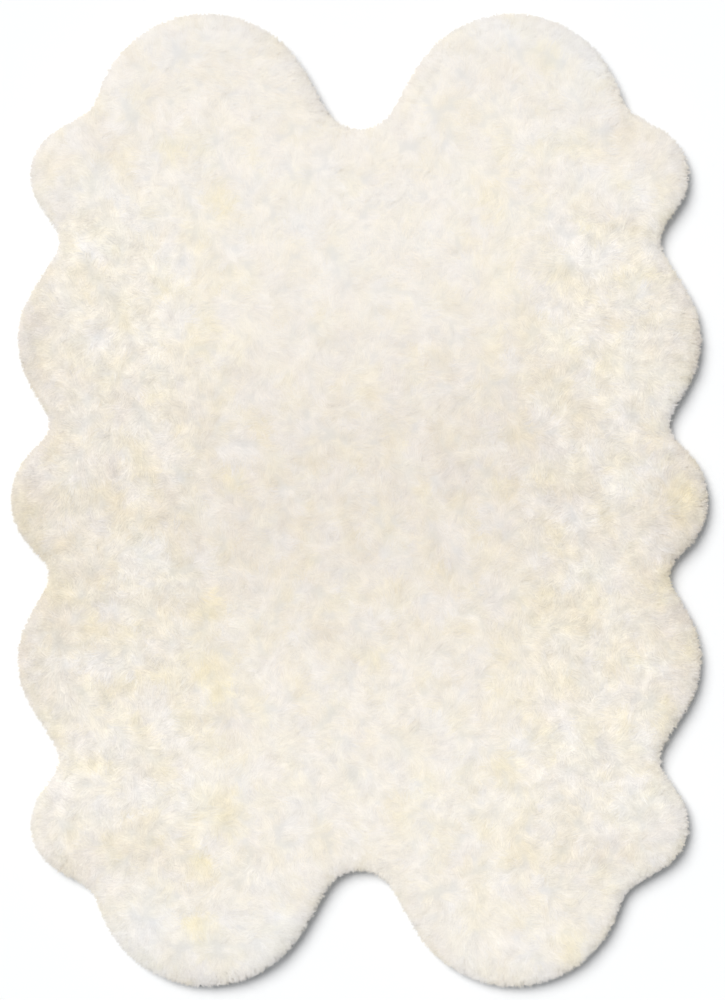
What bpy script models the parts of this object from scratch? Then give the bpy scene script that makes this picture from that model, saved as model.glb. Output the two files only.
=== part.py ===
"""Sheepskin rug: four pelts sewn edge to edge, lying flat with the wool up.

Run with: blender --background --python part.py
Metres, +Z up. X runs across the rug and Y along it. The origin lies on the floor under the
point where the two seams cross. Each pelt is a thin hide with its fleece standing on it.
"""

import math
from collections import namedtuple

import bmesh
import bpy
from mathutils import Vector

# Heights above the floor
HIDE_THICKNESS = 0.002
PIECE_GAP = 0.0003           # between a fleece and its hide, and between pelts at a seam
RIM_HEIGHT = 0.019           # where the wool reaches furthest out
SHOULDER_HEIGHT = 0.046      # top of the rounded rim, and of the wool along the seams
CROWN_HEIGHT = 0.050         # top of the wool in the middle of a pelt

# Distances in from the outline of the wool
HIDE_SETBACK = 0.026         # cut edge of the hide, hidden under the wool
RIM_UNDERCUT = 0.016         # foot of the rounded rim
SHOULDER_REACH = 0.034       # where the rounded rim meets the flat top
CROWN_REACH = 0.070          # where the wool stands at its full height
CROWN_SEAM_REACH = 0.040     # the same, measured from a seam
SEAM_BLEND = 0.200           # how far from a seam a loop gives way to it

# Fineness of the mesh
ARC_STEP = 0.022
ARC_ANGLE = math.radians(16)
SEAM_STEP = 0.110
RIM_LOWER_STEPS = 2
RIM_UPPER_STEPS = 3

BUMP = 1
NOTCH = -1
Bow = namedtuple("Bow", "name x y radius side")

# Outer edge of the wool on one pelt, from the notch at the rug's end, round the lobe and down
# the side to the bump on the rug's middle. Each row is a round stretch: a bump's circle lies
# inside the rug and a notch's circle outside it, and straight tangents join them.
OUTLINE = (
    Bow("end_notch", 0.000, 0.764, 0.071, NOTCH),
    Bow("lobe", 0.2865, 0.700, 0.210, BUMP),
    Bow("shoulder_notch", 0.538, 0.762, 0.047, NOTCH),
    Bow("upper_bump", 0.519, 0.607, 0.097, BUMP),
    Bow("upper_notch", 0.611, 0.485, 0.049, NOTCH),
    Bow("side_bump", 0.471, 0.300, 0.168, BUMP),
    Bow("lower_notch", 0.621, 0.141, 0.041, NOTCH),
    Bow("middle_bump", 0.525, 0.000, 0.127, BUMP),
)

PELTS = {
    "head_left": (-1, 1),
    "head_right": (1, 1),
    "foot_left": (-1, -1),
    "foot_right": (1, -1),
}

WOOL = {"color": (0.86, 0.82, 0.74, 1.0), "roughness": 0.95}
SUEDE = {"color": (0.80, 0.68, 0.50, 1.0), "roughness": 0.85}


def tangent_normal(bow, following):
    """Outward normal of the straight run from one round stretch to the next."""
    run = Vector((following.x - bow.x, following.y - bow.y))
    along = run.normalized()
    outward = Vector((-along.y, along.x))
    cosine = (bow.side * bow.radius - following.side * following.radius) / run.length
    return along * cosine + outward * math.sqrt(1.0 - cosine * cosine)


def outline():
    """Points of the wool's outer edge in the +X +Y quarter, each with its outward normal."""
    normals = [Vector((0.0, 1.0))]
    normals += [tangent_normal(bow, following) for bow, following in zip(OUTLINE, OUTLINE[1:])]
    normals += [Vector((1.0, 0.0))]
    edge = []
    for bow, start, end in zip(OUTLINE, normals, normals[1:]):
        first = math.atan2(start.y, start.x)
        turn = math.remainder(math.atan2(end.y, end.x) - first, math.tau)
        steps = max(math.ceil(abs(turn) * bow.radius / ARC_STEP), math.ceil(abs(turn) / ARC_ANGLE))
        for step in range(steps + 1):
            angle = first + turn * step / steps
            normal = Vector((math.cos(angle), math.sin(angle)))
            edge.append((Vector((bow.x, bow.y)) + bow.side * bow.radius * normal, normal))
    return edge


def clear_of_seam(distance, line):
    """Distance from a seam after it is eased away, so that nothing lies nearer than line."""
    return distance + line * max(0.0, 1.0 - distance / SEAM_BLEND)


def ring(edge, inset, height, seam_inset=0.0):
    """Closed loop around a pelt: its outer edge moved in by inset, then back along both seams."""
    line = PIECE_GAP / 2 + seam_inset
    loop = []
    for point, normal in edge:
        moved = point - normal * inset
        loop.append(Vector((clear_of_seam(moved.x, line), clear_of_seam(moved.y, line), height)))
    corner = Vector((line, line, height))
    across = math.ceil(edge[-1][0].x / SEAM_STEP)
    along = math.ceil(edge[0][0].y / SEAM_STEP)
    loop += [loop[-1].lerp(corner, step / across) for step in range(1, across + 1)]
    loop += [corner.lerp(loop[0], step / along) for step in range(1, along)]
    return loop


def rim_profile():
    """Inset and height of each ring up the rounded rim, from its foot to its shoulder."""
    profile = []
    foot = HIDE_THICKNESS + PIECE_GAP
    for step in range(RIM_LOWER_STEPS):
        angle = math.pi / 2 * (1.0 - step / RIM_LOWER_STEPS)
        inset = RIM_UNDERCUT * (1.0 - math.cos(angle))
        profile.append((inset, RIM_HEIGHT - (RIM_HEIGHT - foot) * math.sin(angle)))
    for step in range(RIM_UPPER_STEPS + 1):
        angle = math.pi / 2 * step / RIM_UPPER_STEPS
        inset = SHOULDER_REACH * (1.0 - math.cos(angle))
        profile.append((inset, RIM_HEIGHT + (SHOULDER_HEIGHT - RIM_HEIGHT) * math.sin(angle)))
    return profile


def fleece_rings(edge):
    """Loops from the underside of the fleece, up its rounded rim, to the flat of its crown."""
    rings = [ring(edge, inset, height) for inset, height in rim_profile()]
    return rings + [ring(edge, CROWN_REACH, CROWN_HEIGHT, CROWN_SEAM_REACH)]


def hide_rings(edge):
    """Loops round the bottom and the top of the hide."""
    return [ring(edge, HIDE_SETBACK, 0.0), ring(edge, HIDE_SETBACK, HIDE_THICKNESS)]


def closed_mesh(name, rings, quarter):
    """One closed body: a flat bottom, a band between each two rings, and a flat top."""
    mirror_x, mirror_y = quarter
    body = bmesh.new()
    loops = [[body.verts.new((point.x * mirror_x, point.y * mirror_y, point.z)) for point in loop]
             for loop in rings]
    body.faces.new(loops[0])
    for lower, upper in zip(loops, loops[1:]):
        for here in range(len(lower)):
            there = (here + 1) % len(lower)
            body.faces.new((lower[here], lower[there], upper[there], upper[here]))
    body.faces.new(loops[-1])
    bmesh.ops.triangulate(body, faces=body.faces[:])
    bmesh.ops.recalc_face_normals(body, faces=body.faces[:])
    mesh = bpy.data.meshes.new(name)
    body.to_mesh(mesh)
    body.free()
    return mesh


def principled(name, look):
    """A plain Principled material of one colour and roughness."""
    material = bpy.data.materials.new(name)
    material.use_nodes = True
    shader = material.node_tree.nodes["Principled BSDF"]
    shader.inputs["Base Color"].default_value = look["color"]
    shader.inputs["Roughness"].default_value = look["roughness"]
    shader.inputs["Metallic"].default_value = 0.0
    material.diffuse_color = look["color"]
    return material


def add_piece(name, mesh, look, parent):
    """Put a mesh into the scene under the rug's empty, shaded smooth, with its own material."""
    mesh.shade_smooth()
    mesh.set_sharp_from_angle(angle=math.radians(50))
    mesh.materials.append(principled(name, look))
    piece = bpy.data.objects.new(name, mesh)
    bpy.context.scene.collection.objects.link(piece)
    piece.parent = parent


def main():
    for leftover in list(bpy.data.objects):
        bpy.data.objects.remove(leftover, do_unlink=True)
    rug = bpy.data.objects.new("rug", None)
    bpy.context.scene.collection.objects.link(rug)
    edge = outline()
    for pelt, quarter in PELTS.items():
        hide = closed_mesh("hide_" + pelt, hide_rings(edge), quarter)
        add_piece("hide_" + pelt, hide, SUEDE, rug)
        fleece = closed_mesh("fleece_" + pelt, fleece_rings(edge), quarter)
        add_piece("fleece_" + pelt, fleece, WOOL, rug)


main()
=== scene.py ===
"""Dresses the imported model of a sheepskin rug: wool, hides, seam thread and a plain studio.

Lengths are in metres, +Z is up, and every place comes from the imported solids. The four pelts
are mirror images in outline, so the outline is read once, in the quarter where x and y are
positive, and mirrored. Their wool is grown pelt by pelt, and differs from one to the next.
"""

import math
from collections import namedtuple

import bpy
import numpy as np
from bpy.props import FloatProperty, FloatVectorProperty, PointerProperty
from bpy.types import Operator, Panel, PropertyGroup
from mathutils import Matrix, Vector
from mathutils.geometry import delaunay_2d_cdt


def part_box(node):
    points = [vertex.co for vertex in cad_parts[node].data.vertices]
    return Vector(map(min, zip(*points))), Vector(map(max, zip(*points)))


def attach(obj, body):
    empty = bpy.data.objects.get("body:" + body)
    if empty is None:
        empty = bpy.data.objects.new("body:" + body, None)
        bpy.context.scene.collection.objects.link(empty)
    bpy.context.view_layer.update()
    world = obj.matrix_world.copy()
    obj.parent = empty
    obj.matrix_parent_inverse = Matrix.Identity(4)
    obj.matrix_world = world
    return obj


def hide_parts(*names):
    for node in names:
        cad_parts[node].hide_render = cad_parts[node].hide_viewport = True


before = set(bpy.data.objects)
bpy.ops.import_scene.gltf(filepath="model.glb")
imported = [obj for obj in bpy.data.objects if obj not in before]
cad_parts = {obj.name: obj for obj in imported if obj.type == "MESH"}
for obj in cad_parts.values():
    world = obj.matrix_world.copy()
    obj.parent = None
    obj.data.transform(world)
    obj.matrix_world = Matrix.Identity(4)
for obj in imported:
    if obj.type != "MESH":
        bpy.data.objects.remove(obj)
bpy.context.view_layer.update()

bl_info = {
    "name": "Sheepskin Rug",
    "version": (1, 0, 0),
    "blender": (4, 5, 0),
    "location": "View3D > Sidebar > Sheepskin",
    "description": "Grows the wool of a sheepskin rug on its packed solids and lights it",
    "category": "Object",
}

PELTS = [name[len("fleece_"):] for name in sorted(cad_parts) if name.startswith("fleece_")]
HIDE_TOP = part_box("hide_" + PELTS[0])[1].z
WOOL_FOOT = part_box("fleece_" + PELTS[0])[0].z
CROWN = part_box("fleece_" + PELTS[0])[1].z
SEAM_GAP = min(abs(corner.x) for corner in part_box("fleece_" + PELTS[0]))

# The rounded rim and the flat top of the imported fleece.
RIM_REACH = 0.034        # from the rim's widest line in to the flat top
RIM_FOOT = 0.016         # from the rim's widest line in to its foot
SHOULDER = 0.046         # height at which the rim meets the flat top
CROWN_IN = 0.070         # distance in from the edge at which the pile is at full height
SEAM_IN = 0.040          # the same from a seam
HIGHEST_TIP = CROWN + 0.006
LOWEST_TIP = 0.0009

CRIMP_PITCH = 0.0045     # one wave of the crimp along a strand
CRIMP_DEPTH = 0.0003     # height of such a wave
STRAND_TAPER = (0.7, 1.0, 0.0)    # width at root, middle and tip, as shares of the full width
# At root, middle and tip: the darker root is partly the wool's own creamier base and partly painted
# shade deep in the pile; the paler tip is its sun-bleached end.
STRAND_SHADES = np.array([-0.05, 0.0, 0.015])    # how much lighter than its tint a strand is, likewise
ROUNDNESS = 0.06         # how far a strand's normals turn outwards at its two edges
PILE_SHARE = 0.92        # how far a strand's normals follow the surface of the pile
SCATTER = 5.0            # how far the pile's own normals turn up, as deep wool scatters light
CLOUD_SIZE = 0.026       # size of the larger uneven places
CLOUD_CONTRAST = 0.30    # how strongly they lighten and darken the wool
FLECK_SIZE = 0.0045      # size of the flecks of paler and darker fibres
FLECK_CONTRAST = 0.24    # how strongly the flecks do so
FLECK_PALENESS = 1.0     # how much more bleached than darkened a fleck is
DEEP_SHARE = 0.86        # brightness of the darker mottling of suede and thread


# ---------------------------------------------------------------- outline and plan of the rug


def pelt_sides(pelt):
    """Which quarter a pelt lies in, as the signs of x and y."""
    low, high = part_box("fleece_" + pelt)
    middle = (low + high) / 2
    return np.array([math.copysign(1.0, middle.x), math.copysign(1.0, middle.y)])


def unit(vectors):
    """Vectors scaled to a length of one."""
    return vectors / np.maximum(np.linalg.norm(vectors, axis=-1, keepdims=True), 1e-12)


def turned(vectors, angles):
    """Plan vectors, each turned by an angle."""
    cos, sin = np.cos(angles), np.sin(angles)
    x, y = vectors.T
    return np.stack([x * cos - y * sin, x * sin + y * cos], 1)


def smooth_step(values, low, high):
    """0 below low, 1 above high, and an eased slope between them."""
    share = np.clip((values - low) / (high - low), 0.0, 1.0)
    return share * share * (3.0 - 2.0 * share)


def widest_loop():
    """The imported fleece's widest line, from the end notch to the middle bump, and its height."""
    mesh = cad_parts["fleece_" + PELTS[0]].data
    places = np.array([vertex.co for vertex in mesh.vertices])
    places[:, :2] = np.abs(places[:, :2])
    rim = places[np.argmax(places[:, 0]), 2]
    level = np.abs(places[:, 2] - rim) < 1e-5
    keys = [tuple(key) for key in np.round(places[:, :2] * 1e5).astype(int)]
    joined = {}
    for edge in mesh.edges:
        one, other = edge.vertices
        if level[one] and level[other] and keys[one] != keys[other]:
            joined.setdefault(keys[one], set()).add(keys[other])
            joined.setdefault(keys[other], set()).add(keys[one])
    on_seam = 2 * SEAM_GAP * 1e5
    notch = max((key for key in joined if key[0] < on_seam), key=lambda key: key[1])
    loop = [notch, max(joined[notch], key=lambda key: key[0])]
    while loop[-1][1] > on_seam:
        loop.append((joined[loop[-1]] - {loop[-2]}).pop())
    return np.array(loop) / 1e5, rim


def even_points(points, count):
    """Points at even steps along a polyline, ends included."""
    lengths = np.linalg.norm(np.diff(points, axis=0), axis=1)
    along = np.concatenate([[0.0], np.cumsum(lengths)])
    marks = np.linspace(0.0, along[-1], count)
    return np.stack([np.interp(marks, along, points[:, axis]) for axis in (0, 1)], 1)


class Outline:
    """Outer edge of the wool in the quarter where x and y are positive."""

    POINTS = 900
    ROUNDING = 4     # points on each side that a point is averaged with
    PASSES = 2

    def __init__(self):
        corners, self.rim_height = widest_loop()
        corners[0, 0] = corners[-1, 1] = 0.0
        points = even_points(corners, self.POINTS)
        count = (self.PASSES + 1) * self.ROUNDING
        before = points[1:count + 1][::-1] * (-1, 1)
        after = points[-count - 1:-1][::-1] * (1, -1)
        points = np.concatenate([before, points, after])
        kernel = np.ones(2 * self.ROUNDING + 1) / (2 * self.ROUNDING + 1)
        for _ in range(self.PASSES):
            points = np.stack([np.convolve(points[:, axis], kernel, "same") for axis in (0, 1)], 1)
        run = np.gradient(points, axis=0)
        outward = unit(np.stack([-run[:, 1], run[:, 0]], 1))
        self.points = points[count:-count]
        self.outward = outward[count:-count]
        lengths = np.linalg.norm(np.diff(self.points, axis=0), axis=1)
        self.along = np.concatenate([[0.0], np.cumsum(lengths)])
        self.length = self.along[-1]

    def at(self, along):
        """Place and outward direction at lengths along the outline."""
        place = [np.interp(along, self.along, self.points[:, axis]) for axis in (0, 1)]
        outward = [np.interp(along, self.along, self.outward[:, axis]) for axis in (0, 1)]
        return np.stack(place, 1), unit(np.stack(outward, 1))


class Plan:
    """How far in from the outline each place of the rug's plan lies, and which way is out."""

    STEP = 0.004     # between two samples
    MARGIN = 0.045   # how far past the outline it is sampled
    BLUR = 5         # samples on each side that a sample is averaged with
    PASSES = 3

    def __init__(self, outline):
        reach = outline.points.max(0) + self.MARGIN
        x, y = (np.arange(self.STEP / 2, size, self.STEP) for size in reach)
        grid = np.stack(np.meshgrid(x, y), -1)
        inset = np.empty(grid.shape[:2])
        for row, places in enumerate(grid):
            apart = places[:, None] - outline.points[None]
            nearest = (apart ** 2).sum(2).argmin(1)
            offset = apart[np.arange(len(places)), nearest]
            inset[row] = -(offset * outline.outward[nearest]).sum(1)
        half = np.concatenate([inset[:, ::-1], inset], 1)
        self.inset = np.concatenate([half[::-1], half])
        self.low = -np.array([x[-1], y[-1]])
        soft = self.inset
        for _ in range(self.PASSES):
            soft = self.blurred(soft)
        slope_y, slope_x = np.gradient(soft, self.STEP)
        self.out_x, self.out_y = -slope_x, -slope_y

    def blurred(self, field):
        """The mean of a field over a small square round each place."""
        for axis in (0, 1):
            field = sum(np.roll(field, step, axis) for step in range(-self.BLUR, self.BLUR + 1))
            field = field / (2 * self.BLUR + 1)
        return field

    def read(self, field, places):
        """A field's value at each place, blended between its samples."""
        limit = np.array(field.shape[::-1]) - 1.001
        at = np.clip((places - self.low) / self.STEP, 0.0, limit)
        cell = at.astype(int)
        column, row = cell.T
        across, up = (at - cell).T
        lower = field[row, column] * (1 - across) + field[row, column + 1] * across
        upper = field[row + 1, column] * (1 - across) + field[row + 1, column + 1] * across
        return lower * (1 - up) + upper * up

    def inset_at(self, places):
        """How far in from the outline each place lies."""
        return self.read(self.inset, places)

    def outward(self, places):
        """The direction in plan in which wool combs out towards the edge."""
        return np.stack([self.read(self.out_x, places), self.read(self.out_y, places)], 1)


class Ripple:
    """A smooth random field over the plan, mostly between -1 and 1, with hills of one size."""

    WAVES = 16
    LENGTHS = (0.75, 1.5)    # shortest and longest wave, set against the size of the hills

    def __init__(self, seed, size):
        random = np.random.default_rng(seed)
        heading = random.uniform(0.0, math.tau, self.WAVES)
        number = math.tau / (size * random.uniform(*self.LENGTHS, self.WAVES))
        self.number = np.stack([np.cos(heading), np.sin(heading)]) * number
        self.phase = random.uniform(0.0, math.tau, self.WAVES)

    def __call__(self, places):
        """The field's value at each place."""
        return np.cos(places @ self.number + self.phase).sum(1) / math.sqrt(self.WAVES)


OUTLINE = Outline()
PLAN = Plan(OUTLINE)


# ---------------------------------------------------------------- the surface of the pile

PILE_HILLS = ((Ripple(11, 0.16), 0.0022), (Ripple(12, 0.055), 0.0014))
HILLS_IN = (0.01, 0.06)  # distances in from the edge between which the hills rise


def rim_curve(inward, lowered, steps):
    """Insets and heights of the rounded rim from its foot to its top, drawn inward and down."""
    foot_steps, top_steps = steps
    foot = np.linspace(math.pi / 2, 0.0, foot_steps)[:-1]
    top = np.linspace(0.0, math.pi / 2, top_steps)
    rim = OUTLINE.rim_height
    inset = np.concatenate([RIM_FOOT * (1 - np.cos(foot)), RIM_REACH * (1 - np.cos(top))])
    height = np.concatenate([rim - (rim - WOOL_FOOT) * np.sin(foot),
                             rim + (SHOULDER - lowered - rim) * np.sin(top)])
    return inset + inward, height


class Rim:
    """The rim's profile by length, negative below its widest line and positive above it."""

    STEPS = (20, 30)     # up to the widest line, and on to the top

    def __init__(self):
        self.inset, self.height = rim_curve(0.0, 0.0, self.STEPS)
        run = np.hypot(np.diff(self.inset), np.diff(self.height))
        along = np.concatenate([[0.0], np.cumsum(run)])
        widest = self.inset.argmin()
        self.along = along - along[widest]
        self.upper_inset, self.upper_height = self.inset[widest:], self.height[widest:]
        self.run_in = np.gradient(self.inset, self.along)
        self.run_up = np.gradient(self.height, self.along)

    def at(self, along):
        """Inset, height, and the outward and upward parts of the normal."""
        inset, height, run_in, run_up = (
            np.interp(along, self.along, values)
            for values in (self.inset, self.height, self.run_in, self.run_up))
        size = np.hypot(run_in, run_up)
        return inset, height, run_up / size, run_in / size


RIM = Rim()


def pile_height(places):
    """Height of the wool's surface over the plan, down to the widest line of the rim."""
    inset = PLAN.inset_at(places)
    from_seam = np.abs(places).min(1)
    full = smooth_step(inset, RIM_REACH, CROWN_IN) * smooth_step(from_seam, -SEAM_IN, SEAM_IN)
    height = np.interp(inset, RIM.upper_inset, RIM.upper_height) + (CROWN - SHOULDER) * full
    on_top = smooth_step(inset, *HILLS_IN)
    for hill, size in PILE_HILLS:
        height = height + size * hill(places) * on_top
    return height


def pile_normal(places, step=0.006):
    """Upward direction of the wool's surface over the plan."""
    east, north = np.array([step, 0.0]), np.array([0.0, step])
    slope_x = (pile_height(places + east) - pile_height(places - east)) / (2 * step)
    slope_y = (pile_height(places + north) - pile_height(places - north)) / (2 * step)
    return unit(np.stack([-slope_x, -slope_y, np.ones(len(places))], 1))


# ---------------------------------------------------------------- tint of the wool

# Where the wool departs from ivory: the middle of a patch, how far it reaches across the rug
# and along it, and how strong it is. Patches that the four pelts share lie at distances from
# the two seams: the golden line of the spine, and faint ribs over the flank. The others lie
# anywhere on the rug, and a negative one weakens those that it crosses.
Patch = namedtuple("Patch", "x y across along strength")
SHARED_PATCHES = {
    "golden": (
        (0.270, 0.340, 0.045, 0.060, 0.20), (0.260, 0.560, 0.045, 0.060, 0.26),
        (0.270, 0.450, 0.045, 0.045, 0.20), (0.315, 0.660, 0.060, 0.030, 0.12),
        (0.300, 0.250, 0.060, 0.060, 0.12), (0.490, 0.415, 0.100, 0.020, 0.26),
        (0.480, 0.503, 0.080, 0.010, 0.20), (0.490, 0.260, 0.100, 0.020, 0.22),
        (0.430, 0.190, 0.080, 0.020, 0.12), (0.440, 0.345, 0.080, 0.014, 0.14),
        (0.420, 0.665, 0.080, 0.022, 0.15),
    ),
    "dusty": (
        (0.000, 0.000, 1.500, 0.310, 0.68), (0.640, 0.280, 0.070, 0.110, 0.60),
        (0.640, 0.030, 0.070, 0.110, 0.50), (0.600, 0.620, 0.035, 0.040, 0.25),
        (0.500, 0.700, 0.060, 0.030, 0.25), (0.480, 0.650, 0.080, 0.040, 0.20),
    ),
    "bleached": (
        (0.520, 0.570, 0.100, 0.035, 0.38), (0.490, 0.462, 0.090, 0.014, 0.38),
        (0.480, 0.305, 0.090, 0.014, 0.30), (0.130, 0.550, 0.110, 0.090, 0.15),
        (0.300, 0.900, 0.400, 0.120, 0.30),
    ),
}
OWN_PATCHES = {
    "golden": (
        (0.000, -0.070, 1.500, 0.280, 0.08), (-0.265, 0.550, 0.030, 0.050, 0.15),
        (-0.280, 0.320, 0.035, 0.040, 0.10), (-0.420, 0.390, 0.080, 0.025, 0.12),
        (-0.300, -0.200, 0.030, 0.030, 0.40), (-0.290, -0.330, 0.050, 0.070, 0.30),
        (0.000, 0.150, 0.040, 0.050, 0.12), (-0.300, 0.160, 0.050, 0.040, 0.12),
        (-0.100, -0.150, 0.050, 0.040, 0.12), (0.000, -0.250, 0.050, 0.040, 0.14),
        (0.400, -0.260, 0.050, 0.040, 0.20), (-0.420, -0.340, 0.060, 0.030, 0.14),
        (-0.380, -0.640, 0.080, 0.035, 0.25), (-0.245, -0.605, 0.030, 0.030, 0.42),
        (-0.300, -0.790, 0.022, 0.050, 0.60), (-0.305, -0.800, 0.030, 0.014, 0.35),
        (-0.286, -0.668, 0.022, 0.022, 0.75), (-0.267, -0.361, 0.020, 0.018, 0.45),
        (-0.550, -0.170, 0.040, 0.040, 0.65), (-0.410, -0.020, 0.090, 0.040, 0.22),
        (-0.610, -0.050, 0.040, 0.040, 0.40), (0.345, 0.815, 0.020, 0.035, 0.50),
        (0.190, 0.700, 0.050, 0.050, 0.15), (0.370, 0.230, 0.035, 0.070, 0.15),
        (0.300, 0.040, 0.060, 0.035, 0.12), (0.610, 0.005, 0.035, 0.032, 0.85),
        (0.560, -0.150, 0.032, 0.035, 0.55), (0.350, -0.190, 0.050, 0.040, 0.30),
        (0.300, -0.320, 0.040, 0.050, 0.18), (0.100, -0.570, 0.035, 0.045, 0.38),
        (0.200, -0.655, 0.150, 0.035, 0.10), (0.310, -0.640, 0.040, 0.040, 0.18),
        (0.230, -0.760, 0.070, 0.050, 0.15), (0.395, -0.810, 0.030, 0.040, 0.55),
    ),
    "dusty": (
        (0.240, 0.130, 0.200, 0.120, 0.25), (-0.250, -0.130, 0.350, 0.080, 0.15),
        (-0.350, 0.320, 0.120, 0.120, -0.25), (0.000, -0.180, 0.120, 0.040, -0.15),
        (-0.400, 0.100, 0.060, 0.080, -0.20), (0.430, 0.260, 0.070, 0.050, -0.20),
        (0.400, 0.460, 0.050, 0.050, -0.15), (-0.350, 0.500, 0.060, 0.060, -0.12),
        (-0.300, -0.550, 0.050, 0.050, -0.30), (0.220, -0.520, 0.120, 0.060, -0.12),
        (-0.200, -0.050, 0.050, 0.050, 0.20), (-0.050, -0.265, 0.080, 0.040, 0.18),
        (0.250, 0.270, 0.080, 0.080, 0.12), (0.250, 0.860, 0.080, 0.050, 0.16),
        (-0.600, 0.300, 0.040, 0.100, 0.30), (-0.550, -0.200, 0.070, 0.090, 0.22),
        (0.530, -0.070, 0.050, 0.060, 0.38), (0.600, 0.050, 0.030, 0.040, 0.25),
        (0.430, -0.660, 0.070, 0.050, 0.20), (-0.330, -0.870, 0.080, 0.050, 0.30),
        (0.000, 0.900, 0.700, 0.180, 0.22), (-0.400, -0.660, 0.150, 0.040, 0.35),
        (0.400, -0.660, 0.140, 0.040, 0.30), (-0.400, -0.870, 0.150, 0.060, 0.30),
        (-0.590, -0.180, 0.050, 0.090, 0.50), (0.600, -0.170, 0.070, 0.100, 0.45),
    ),
    "bleached": (
        (-0.420, -0.810, 0.090, 0.080, 0.65), (-0.150, -0.820, 0.110, 0.080, 0.85),
        (-0.400, -0.860, 0.060, 0.050, 0.30), (0.420, 0.860, 0.050, 0.050, 0.60),
        (-0.450, 0.500, 0.080, 0.050, 0.32), (-0.100, 0.560, 0.060, 0.040, 0.32),
        (-0.300, 0.660, 0.050, 0.030, 0.28), (0.480, 0.200, 0.070, 0.050, 0.28),
        (-0.200, -0.250, 0.050, 0.040, 0.28), (-0.300, -0.550, 0.050, 0.050, 0.32),
        (0.400, -0.450, 0.050, 0.040, 0.35), (0.550, -0.550, 0.060, 0.120, 0.28),
        (-0.400, -0.130, 0.070, 0.050, 0.55), (-0.020, 0.450, 0.060, 0.050, 0.30),
        (0.260, 0.870, 0.120, 0.050, 0.40), (0.420, 0.790, 0.060, 0.060, 0.55),
        (0.370, 0.680, 0.050, 0.050, 0.40), (0.420, 0.080, 0.050, 0.040, 0.30),
        (0.500, 0.020, 0.045, 0.060, 0.50), (0.430, -0.130, 0.050, 0.050, 0.55),
        (0.580, 0.190, 0.050, 0.060, 0.55), (0.530, -0.750, 0.080, 0.080, 0.60),
    ),
}
FAINT_TINTS = {"golden": 0.12, "dusty": 0.14, "bleached": 0.12}    # between the patches

# How flecked the wool is, at distances from the two seams: a band strengthens from near to far
# across the rug, or is as strong right across, and fades from inner to outer along it.
Band = namedtuple("Band", "near far outer inner strength")
FLECKED_BANDS = (
    Band(0.26, 0.52, 0.62, 0.40, 1.00),
    Band(0.10, 0.45, 0.90, 0.62, 0.35),
    Band(-2.00, -1.00, 0.42, 0.16, 0.25),
)
LEAST_FLECKING = 0.15
FOOT_FLECKING = 0.35     # how much more flecked the foot pelts are
FOOT_WOOL = (0.10, 0.45)     # distances down from the middle between which that sets in

# Ripples that break up each kind of patch, and how far each swings its strength.
MOTTLES = {
    "golden": ((Ripple(20, 0.090), 0.62), (Ripple(30, 0.036), 0.40)),
    "dusty": ((Ripple(21, 0.120), 0.30), (Ripple(31, 0.045), 0.30)),
    "bleached": ((Ripple(22, 0.090), 0.62), (Ripple(32, 0.036), 0.40)),
}
EVEN_SHARE = 0.8         # share of a patch's strength that the ripples leave it
MOST_MOTTLED = 0.25      # strength beyond which a patch is mottled no further


def patch_strength(patches, x, y):
    """How strongly a table of patches tints each place."""
    strength = np.zeros(len(x))
    for patch in map(Patch._make, patches):
        reach = ((x - patch.x) / patch.across) ** 2 + ((y - patch.y) / patch.along) ** 2
        strength += patch.strength * np.exp(-reach)
    return strength


def flecking(places):
    """How flecked with paler and darker fibres the wool is, from 0 to 1, most on the flanks."""
    x, y = np.abs(places).T
    amount = np.full(len(x), LEAST_FLECKING)
    for band in FLECKED_BANDS:
        along = 1.0 - smooth_step(y, band.inner, band.outer)
        amount += band.strength * smooth_step(x, band.near, band.far) * along
    amount += FOOT_FLECKING * smooth_step(-places[:, 1], *FOOT_WOOL)
    return np.clip(amount, 0.0, 1.0)


def wool_tint(places):
    """How golden, dusty and bleached the wool is at each place of the plan, from 0 to 1."""
    x, y = places.T
    flecked = 1.0 + flecking(places)
    tints = []
    for kind, ripples in MOTTLES.items():
        strength = FAINT_TINTS[kind] * flecked + patch_strength(OWN_PATCHES[kind], x, y)
        strength = strength + patch_strength(SHARED_PATCHES[kind], np.abs(x), np.abs(y))
        mottle = sum(swing * ripple(places) for ripple, swing in ripples)
        mottled = EVEN_SHARE * strength + mottle * np.clip(strength, 0.0, MOST_MOTTLED)
        tints.append(np.clip(mottled, 0.0, 1.0))
    return np.stack(tints, 1)


# ---------------------------------------------------------------- sizes and colours


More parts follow.
